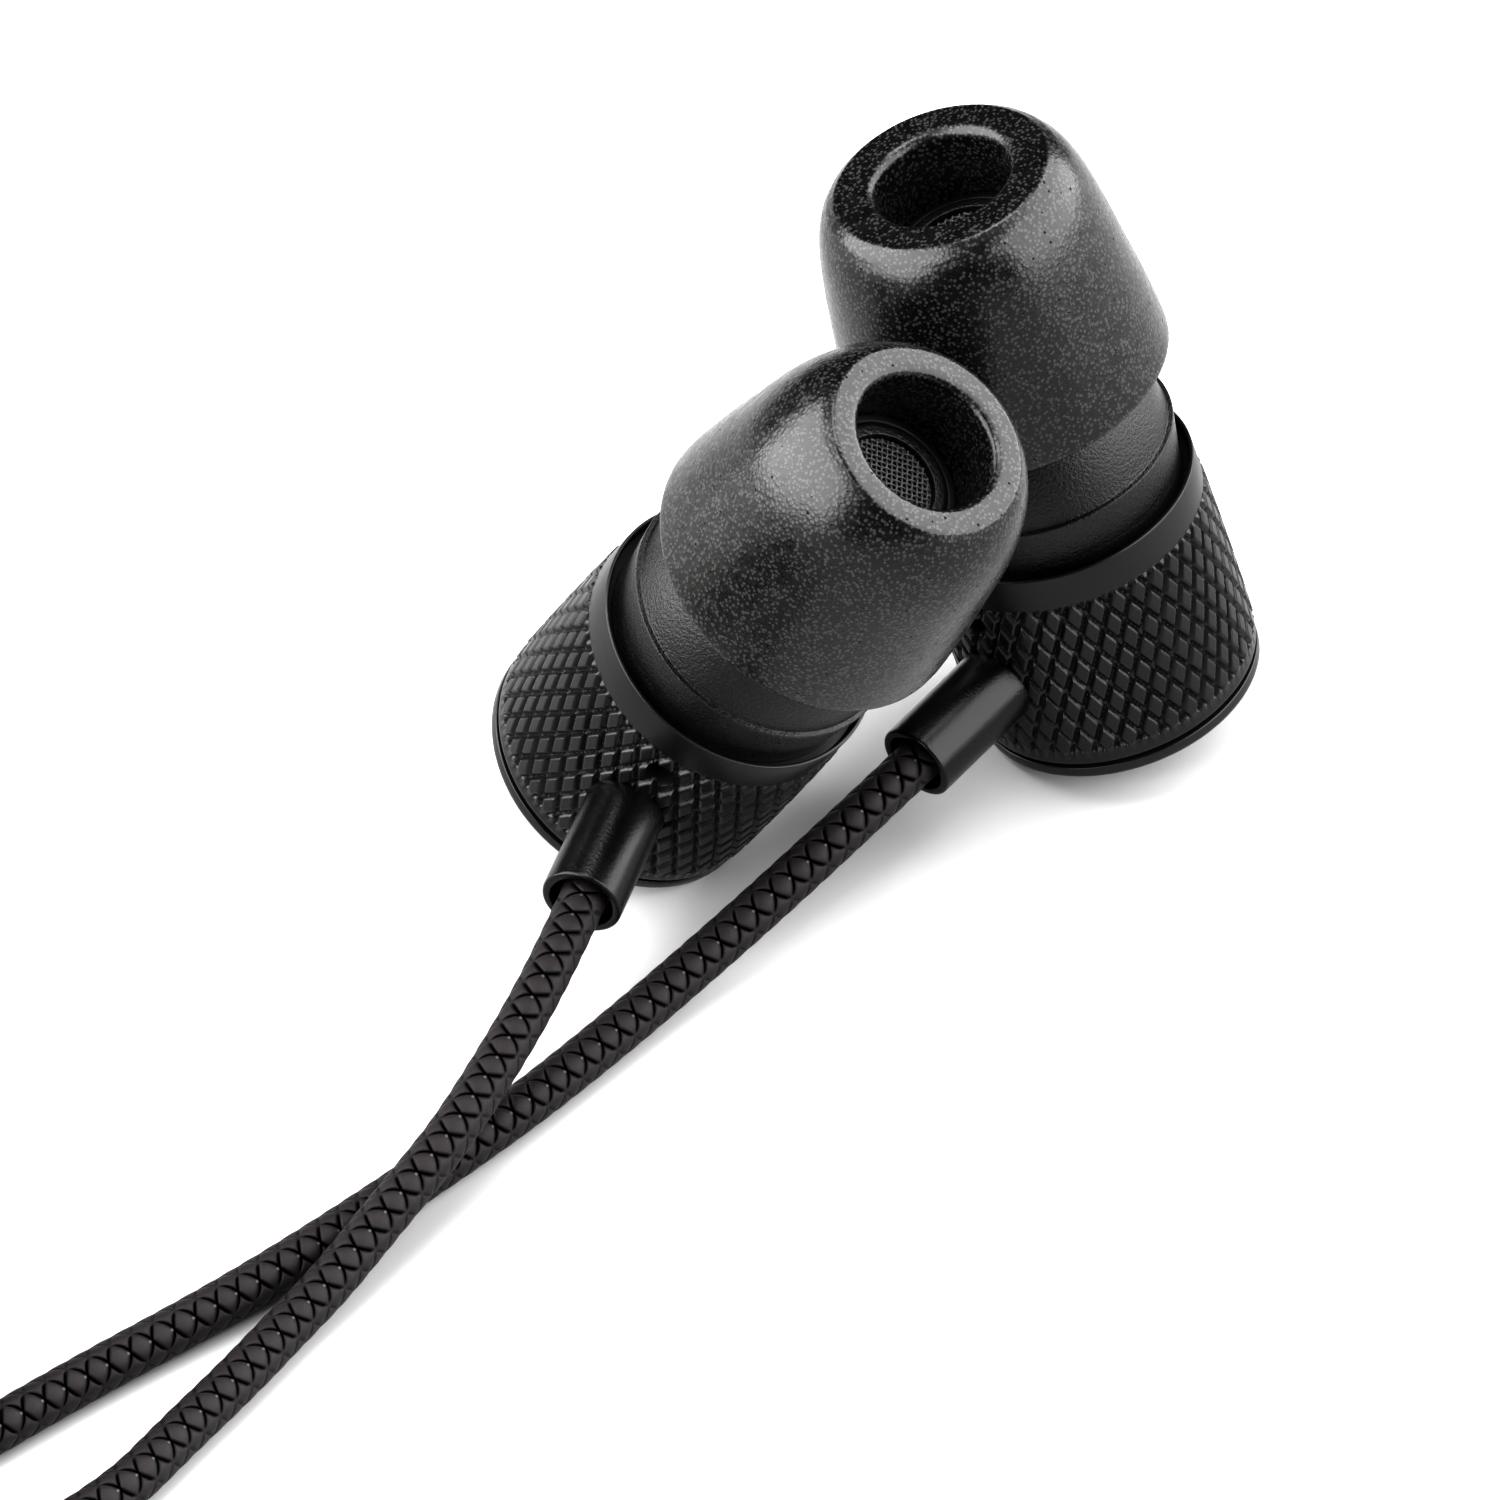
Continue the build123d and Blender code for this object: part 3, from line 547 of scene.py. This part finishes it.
def foam_finish():
    """Slow-recovery foam: a closed skin with small pale specks, partly pale cell ends and partly painted
    glints, pores painted dark as painted shade in their pits, and a soft gloss.
    """
    s = Shader("foam", Specular_IOR_Level=0.36)
    cells, small, pores = s.cells(6000.0), s.cells(9600.0), s.cells(1500.0)
    patch, broad = s.noise(1500.0, 3.0, 0.6), s.noise(220.0, 2.0)
    size = s.step(patch, 0.35, 0.65, 0.56, 0.68)
    speck = s.math("SUBTRACT", 1.0, s.math("DIVIDE", cells, size), clamp=True)
    # Pale specks, from the cells and from a finer layer: partly the skin's own pale cell ends and dust,
    # partly painted glints standing in for light catching its pebbles.
    dust_and_glints = s.step(small, 0.10, 0.30, 1.0, 0.0)
    pale = s.math("MAXIMUM", s.step(speck, 0.22, 0.60), s.math("MULTIPLY", dust_and_glints, 0.35))
    # Pores: dents in the bump, fully rough, and painted near black as painted shade in the pits.
    hole = s.step(pores, 0.06, 0.10, 1.0, 0.0)
    # The skin's tone with the pale specks mixed in, these partly painted glints.
    skin_with_glint_specks = s.mix(pale, s.mix(broad, grey(0.0008), grey(0.0016)), grey(0.0260))
    s.to("Base Color", s.mix(hole, skin_with_glint_specks, grey(0.0005)))
    s.to("Roughness", s.math("MAXIMUM", s.step(patch, 0.3, 0.7, 0.24, 0.32), hole))
    dent = s.bump(cells, 0.22, -0.00004)
    s.to("Normal", s.bump(hole, 0.8, -0.00008, over=dent))
    return s


def screen_finish():
    s = Shader("screen_wire", Specular_IOR_Level=0.42)
    s.to("Base Color", s.mix(s.noise(9000.0), grey(0.032), grey(0.053)))
    s.to("Roughness", s.step(s.noise(4000.0), 0.3, 0.7, 0.40, 0.52))
    return s


foam, screen_wire = foam_finish(), screen_finish()

# ---- earpieces ---------------------------------------------------------------------------------------------

LIP_R, GRIP_LOW, GRIP_HIGH = 5.84, 1.36, 8.98
DIAMONDS, DIAMOND_H, GROOVE_DEPTH = 40, 1.86, 0.20
DIAMOND_R, PIT_R, PIT_DEPTH = 5.92, 5.95, 1.00  # the radii on which the diamonds and the pit are measured out


def grip(radius, height, turn):
    """Flat-topped diamonds between two families of V grooves, and the vent pit in line with the outlet."""
    w = 2 * math.pi * DIAMOND_R / DIAMONDS
    u, v = turn * DIAMONDS / (2 * math.pi), height / DIAMOND_H
    near = np.minimum(np.abs((u + v + 0.5) % 1 - 0.5), np.abs((u - v + 0.5) % 1 - 0.5))
    near = near / math.hypot(1 / w, 1 / DIAMOND_H)
    cut = np.clip((0.155 - near) / 0.130, 0, 1)
    ends = np.clip(np.minimum(height - GRIP_LOW, GRIP_HIGH - height) / 0.10, 0, 1)
    bulge = 0.08 + 0.04 * np.clip(1 - ((height - 5.2) / 3.9) ** 2, 0, 1)
    around = (turn + math.pi) % (2 * math.pi) * PIT_R - math.pi * PIT_R
    off = np.hypot(around, height - VENT_HEIGHT)
    pit = np.clip((VENT_R + 0.16 - off) / 0.08, 0, 1) * PIT_DEPTH
    return np.where(radius > 5.5, radius + (bulge - GROOVE_DEPTH * cut) * ends - pit, radius), height


def shell_outline():
    lip = rounded([(5.10, 0.67), (LIP_R, 0.67), (LIP_R, GRIP_LOW)], 0.36, closed=False, steps=8)
    rows = [(LIP_R, z) for z in np.linspace(GRIP_LOW, GRIP_HIGH, 104)[1:]]
    front = rounded(
        [(LIP_R, GRIP_HIGH), (5.86, 9.06), (5.86, 10.55), (5.70, 10.55), (5.66, 9.95), (5.10, 9.95),
         (5.10, 0.67)],
        [0, 0.03, 0.10, 0.06, 0.05, 0.05, 0], closed=False, steps=4,
    )
    return lip + rows + front[1:-1]


HOUSING = rounded(
    [
        (5.07, 8.60), (5.07, 9.98), (5.30, 9.98), (5.30, 10.85), (5.35, 10.86), (5.61, 12.60),
        (5.61, 12.70), (5.42, 12.76), (5.34, 13.25), (5.20, 13.95), (5.01, 14.60), (4.76, 15.35),
        (4.35, 16.20), (3.60, 16.80), (2.45, 17.00), (2.45, 22.30), (2.55, 22.40), (2.55, 23.45),
        (1.98, 23.45), (1.98, 23.10), (1.72, 23.08), (1.72, 15.60), (4.00, 13.20), (4.00, 13.00),
        (4.75, 13.00), (4.75, 8.60),
    ],
    [0.05, 0.05, 0.05, 0.03, 0.05, 0.04, 0.05, 0.05, 0.3, 0.3, 0.3, 0.3, 0.3, 0.2, 0.2, 0.1, 0.1, 0.22,
     0.08, 0.02, 0.02, 0.2, 0.1, 0.1, 0.05, 0.05],
)
CAP = rounded(
    [(0, 0), (5.80, 0), (5.80, 0.55), (5.07, 0.55), (5.07, 1.90), (4.27, 1.90), (4.27, 0.75), (0, 0.75)],
    [0, 0.25, 0.06, 0.03, 0.05, 0.05, 0.05, 0], closed=False,
)
SLEEVE = rounded(
    [(0.985, 4.05), (2.20, 4.05), (2.20, 4.50), (1.63, 4.50), (1.63, SLEEVE_END), (1.30, SLEEVE_END),
     (1.28, 9.60), (0.985, 9.50)],
    [0.02, 0.05, 0.05, 0.03, 0.14, 0.08, 0.1, 0.05],
)
CORE = rounded([(2.60, 17.90), (3.00, 17.90), (3.00, 23.30), (2.60, 23.30)], 0.12)
FOAM_SKIRT = [
    (4.78, 16.95), (4.98, 16.55), (5.50, 16.40), (6.18, 16.37), (6.44, 16.50), (6.50, 16.85), (6.35, 18.60),
]
# The left tip's face is a little narrower outside, and the right tip's a little narrower at its hole.
FOAM_FLANK = {
    "left": FOAM_SKIRT + [(6.06, 20.90), (5.73, 23.20), (5.30, 24.75), (4.84, 25.72), (4.42, 26.32)],
    "right": FOAM_SKIRT + [(6.07, 20.90), (5.77, 23.20), (5.48, 24.75), (5.14, 25.72), (4.74, 26.32)],
}
FOAM_FACE_R = {"left": 4.05, "right": 4.32}
FOAM_HOLE_R = {"left": 2.88, "right": 2.72}
FOAM_SEED = {"left": 7, "right": 11}


def spread(points, step):
    """The same outline with long stretches divided into steps."""
    out = []
    for a, b in zip(points, points[1:]):
        n = max(1, round(math.dist(a, b) / step))
        out += [(a[0] + (b[0] - a[0]) * k / n, a[1] + (b[1] - a[1]) * k / n) for k in range(n)]
    return out + [points[-1]]


def foam_outline(side):
    """The flank curves in to a flat face, which meets it and the sound opening at small radii."""
    flank = smooth_line(FOAM_FLANK[side], 0.14).tolist()
    hole = FOAM_HOLE_R[side]
    mouth = [
        flank[-1], (FOAM_FACE_R[side], 26.67), (hole, 26.71), (hole, 25.20), (3.00, 23.35), (3.02, 17.65),
        (4.72, 17.60),
    ]
    mouth = rounded(mouth, [0, 0.34, 0.56, 0.4, 0, 0, 0], closed=False, steps=8)
    return spread(flank[:-1] + mouth, 0.14)


def uneven_skin(seed):
    """A very slight unevenness of the foam's skin, none of it in the hole."""
    rng = np.random.RandomState(seed)
    uneven = 0.0018

    def shape(radius, height, turn):
        rough = rng.normal(0, uneven, radius.shape)
        shown = np.clip((radius - 3.05) / 0.3, 0, 1)
        return radius + rough * shown, height + 0.5 * rng.normal(0, uneven, radius.shape) * shown

    return shape


def make_screen(name, seat, spin):
    """Plain-woven wire cloth, cut to a disc."""
    pitch, wire, reach, level = 0.222, 0.050, 1.93, 23.175
    verts, faces = [], []
    count = int(reach / pitch)
    turn = np.arange(6) * math.pi / 3
    for crossways in (0, 1):
        for k in range(-count, count + 1):
            x = k * pitch
            half = math.sqrt(reach**2 - x**2)
            t = np.arange(-half, half + 1e-6, pitch / 6)
            wave = wire * 0.55 * np.cos(math.pi * t / pitch) * (1 if (k + crossways) % 2 else -1)
            rows = []
            for a, h in zip(t, wave):
                z = level + h + wire * 0.8 * np.sin(turn)
                ring = np.stack([x + wire * np.cos(turn), np.full(6, a), z], 1)
                rows.append(ring[:, [1, 0, 2]] if crossways else ring)
            base = sum(len(v) for v in verts)
            faces += [[base + c for c in f] for f in grid_faces(len(t), 6)]
            faces += [[base + c for c in range(6)], [base + (len(t) - 1) * 6 + c for c in range(5, -1, -1)]]
            verts.append(np.vstack(rows))
    spun = np.vstack(verts) @ np.array(Matrix.Rotation(spin, 3, "Z")).T
    return make_object(name, place(spun, seat), faces, 60)


def finish_piece(piece, finish, slot, body, *replaced):
    finish.use(piece)
    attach(piece, body)
    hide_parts(*replaced)


for side, seat in SEAT.items():
    shell = lathe(f"{side}_knurled_shell", shell_outline(), seat, 640, 40, grip)
    finish_piece(shell, knurl_finish, "shell", "earphones", f"{side}_body_shell")
    cap = lathe(f"{side}_cap_disc", CAP, seat, 224)
    finish_piece(cap, turned_finish, "cap", "earphones", f"{side}_rear_cap")
    housing = lathe(f"{side}_front_turning", HOUSING, seat, 224, 20)
    finish_piece(housing, blasted_finish, "front", "earphones", f"{side}_front_housing")
    sleeve = lathe(f"{side}_cord_sleeve", SLEEVE, OUTLET[side], 112)
    finish_piece(sleeve, moulded_finish, "relief", "earphones", f"{side}_strain_relief")
    screen = make_screen(f"{side}_wire_screen", seat, math.radians(20))
    finish_piece(screen, screen_wire, "mesh", "earphones", f"{side}_nozzle_mesh")
    core = lathe(f"{side}_core_tube", CORE, seat, 128)
    finish_piece(core, core_finish, "tip_core", f"{side}_tip", f"{side}_tip_core")
    tip = lathe(f"{side}_foam", foam_outline(side), seat, 400, 60, uneven_skin(FOAM_SEED[side]))
    finish_piece(tip, foam, "foam", f"{side}_tip", f"{side}_tip_foam")

# ---- splitter, tie and plug --------------------------------------------------------------------------------


def along_y(x, y, z):
    """A frame at this point whose z axis lies along +Y."""
    made = Matrix(((1, 0, 0), (0, 0, 1), (0, -1, 0))).to_4x4()
    made.translation = (x, y, z)
    return made


SPLITTER = rounded(
    [(0, 0), (2.40, 0), (2.40, 2.6), (2.28, 2.8), (2.28, 3.2), (2.40, 3.4), (2.40, 7.5), (1.50, 12.0),
     (0, 12.0)],
    [0, 0.5, 0.1, 0.1, 0.1, 0.1, 3.0, 0.35, 0], closed=False, steps=8,
)
splitter = lathe("splitter_moulding", SPLITTER, along_y(*SPLITTER_AT), 128)
finish_piece(splitter, moulded_finish, "moulding", "earphones", "y_splitter")

HANDLE = rounded(
    [
        (1.98, 0), (2.45, 0), (2.80, 0.35), (2.80, 11.2), (2.68, 11.4), (2.68, 11.9), (2.80, 12.1),
        (2.80, 14.7), (2.50, 15.0), (1.58, 15.0), (1.58, 14.2), (2.08, 14.2), (2.08, 12.8), (0.60, 12.8),
        (0.60, 2.0), (1.98, 2.0),
    ],
    [0.05, 0.1, 0.15, 0.1, 0.06, 0.06, 0.1, 0.2, 0.15] + [0.04] * 7,
)
handle = lathe("plug_grip", HANDLE, along_y(PLUG_X, PLUG_HANDLE_Y, PLUG_Z), 160)
finish_piece(handle, turned_finish, "handle", "earphones", "plug_handle")


def relief_outline():
    points = [(0, 0), (1.25, 0)]
    for k in range(4):
        y = 1.4 + 1.3 * k
        r = 1.25 + 0.65 * y / 7.0
        points += [(r - 0.02, y - 0.25), (r - 0.32, y - 0.22), (r - 0.30, y + 0.22), (r + 0.02, y + 0.25)]
    return rounded(points + [(1.95, 7.0), (1.95, 9.0), (0, 9.0)], 0.09, closed=False, steps=4)


relief = lathe("plug_bend_relief", relief_outline(), along_y(PLUG_X, PLUG_RELIEF_Y, PLUG_Z), 128)
finish_piece(relief, moulded_finish, "relief", "earphones", "plug_relief")


def make_strap(name, corners, thickness, width, turn, closed=True):
    """A flat strap along a rounded path in an upright plane through the coil's axis, at this angle."""
    path = np.array(rounded(corners, 0.9, closed=closed, steps=7))
    if closed:
        ahead, behind = np.roll(path, -1, 0), np.roll(path, 1, 0)
    else:
        ahead, behind = np.vstack([path[1:], path[-1:]]), np.vstack([path[:1], path[:-1]])
    along = ahead - behind
    along /= np.linalg.norm(along, axis=1)[:, None]
    outward = np.stack([along[:, 1], -along[:, 0]], 1)
    e, w = 0.12, width / 2
    section = [(0, -w + e), (0, w - e), (e, w), (thickness - e, w), (thickness, w - e), (thickness, -w + e),
               (thickness - e, -w), (e, -w)]
    a = math.radians(turn)
    radial, across = np.array([math.cos(a), math.sin(a), 0]), np.array([-math.sin(a), math.cos(a), 0])
    verts = []
    for point, out in zip(path, outward):
        for rise, offset in section:
            x, z = point + out * rise
            verts.append(np.array([*COIL_CENTRE, z]) + radial * x + across * offset)
    faces = grid_faces(len(path), 8, wrap_rows=closed)
    if not closed:
        faces += [list(range(8)), [(len(path) - 1) * 8 + k for k in range(7, -1, -1)]]
    return make_object(name, verts, faces, 40)


def strap_finish():
    s = Shader("strap_cloth", Specular_IOR_Level=0.11, Sheen_Weight=0.06, Sheen_Roughness=0.5)
    fibre, loops = s.noise(5200.0, 4.0, 0.7), s.cells(3600.0)
    s.to("Base Color", s.mix(fibre, s.mix(loops, grey(0.0043), grey(0.0114)), grey(0.0157)))
    s.to("Roughness", s.step(fibre, 0.3, 0.7, 0.80, 0.96))
    s.to("Normal", s.bump(fibre, 0.8, 0.00008, over=s.bump(loops, 0.8, 0.00012)))
    return s


strap_cloth = strap_finish()
TIE = [(6.24, 0.45), (14.45, 0.45), (14.45, 4.45), (12.50, 12.25), (6.24, 12.25)]
TIE_TAIL = [(14.93, 3.2), (14.93, 4.6), (13.05, 12.1), (12.2, 12.74), (9.6, 12.74)]
TIE_TURN = 20
strap = make_strap("coil_strap", TIE, 0.45, 4.0, TIE_TURN)
finish_piece(strap, strap_cloth, "tie", "earphones", "cord_tie")
tail = make_strap("coil_strap_tail", TIE_TAIL, 0.42, 3.9, TIE_TURN, closed=False)
strap_cloth.use(tail)
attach(tail, "earphones")

contacts = [nodes[n] for n in ("plug_sleeve_contact", "plug_ring_contact", "plug_tip_contact")]
insulators = [nodes[n] for n in ("plug_outer_insulator", "plug_inner_insulator")]

# ---- finishes of the parts kept as they are ----------------------------------------------------------------


def plain(name, low, high, roughness, scale, grain, **sockets):
    """A finish with a little variation in colour and gloss, and a fine grain."""
    s = Shader(name, **sockets)
    noise = s.noise(scale, 3.0, 0.6)
    s.to("Base Color", s.mix(noise, (*low, 1.0), (*high, 1.0)))
    s.to("Roughness", s.step(noise, 0.3, 0.7, roughness - 0.05, roughness + 0.05))
    s.to("Normal", s.bump(noise, grain, 0.00002))
    return s


gold = plain("gold_plate", (0.25, 0.172, 0.075), (0.32, 0.23, 0.11), 0.30, 1800.0, 0.08, Metallic=1.0)
black_ring = plain("insulator_ring", (0.010, 0.010, 0.010), (0.020, 0.020, 0.020), 0.35, 2500.0, 0.1)
steel = plain("driver_steel", (0.45, 0.45, 0.43), (0.62, 0.62, 0.60), 0.34, 2600.0, 0.2, Metallic=1.0)
nickel = plain("nickel_plate", (0.55, 0.54, 0.50), (0.70, 0.69, 0.65), 0.22, 1500.0, 0.1, Metallic=1.0)
copper = plain("copper_wire", (0.60, 0.24, 0.10), (0.80, 0.36, 0.18), 0.30, 4000.0, 0.3, Metallic=1.0)
plastic = plain("driver_plastic", (0.015, 0.015, 0.018), (0.035, 0.035, 0.038), 0.50, 3000.0, 0.2)
film = plain("polymer_film", (0.60, 0.56, 0.44), (0.72, 0.68, 0.55), 0.18, 900.0, 0.05)
board = plain("board_lacquer", (0.010, 0.085, 0.030), (0.020, 0.120, 0.050), 0.30, 2500.0, 0.1)
cloth = plain("acoustic_cloth", (0.020, 0.020, 0.020), (0.070, 0.070, 0.070), 0.90, 9000.0, 0.8)
gasket = plain("gasket_rubber", (0.012, 0.012, 0.012), (0.028, 0.028, 0.028), 0.75, 4000.0, 0.5)
KEPT = {
    "driver_gasket": gasket, "driver_cover": plastic, "driver_frame": plastic, "driver_yoke": steel,
    "driver_magnet": nickel, "driver_plate": steel, "voice_coil": copper, "diaphragm": film,
    "driver_board": board, "vent_filter": cloth, "cord_anchor": gasket,
}
for side in SEAT:
    for part, finish in KEPT.items():
        finish.use(nodes[f"{side}_{part}"])
gold.use(*contacts)
black_ring.use(*insulators)

# ---- floor and light ---------------------------------------------------------------------------------------

floor_mesh = bpy.data.meshes.new("floor")
floor_mesh.from_pydata([(-3, -3, 0), (3, -3, 0), (3, 3, 0), (-3, 3, 0)], [], [(0, 1, 2, 3)])
floor = bpy.data.objects.new("floor", floor_mesh)
scene.collection.objects.link(floor)
paper = Shader("paper", Roughness=0.9, Specular_IOR_Level=0.1)
paper.to("Base Color", paper.mix(paper.noise(30.0), grey(0.335), grey(0.345)))
paper.use(floor)


def softbox(name, location, target, size, power):
    light = bpy.data.lights.new(name, "AREA")
    light.shape = "RECTANGLE"
    light.size, light.size_y = size
    light.energy = power
    box = bpy.data.objects.new(name, light)
    box.location = location
    box.visible_camera = False
    box.rotation_euler = (Vector(target) - Vector(location)).to_track_quat("-Z", "Y").to_euler()
    scene.collection.objects.link(box)


AIM = (0, 0, 0.012)
softbox("left_box", (-0.224, -0.050, 0.160), AIM, (0.46, 0.32), 6.2)
softbox("right_box", (0.231, 0.010, 0.172), AIM, (0.62, 0.38), 7.6)
softbox("top_box", (0.0, 0.08, 0.75), (0, 0, 0.0), (0.35, 0.30), 5.8)
world = bpy.data.worlds.new("studio")
scene.world = world
world.use_nodes = True
world.node_tree.nodes["Background"].inputs["Color"].default_value = (1, 1, 1, 1)
world.node_tree.nodes["Background"].inputs["Strength"].default_value = 0.06
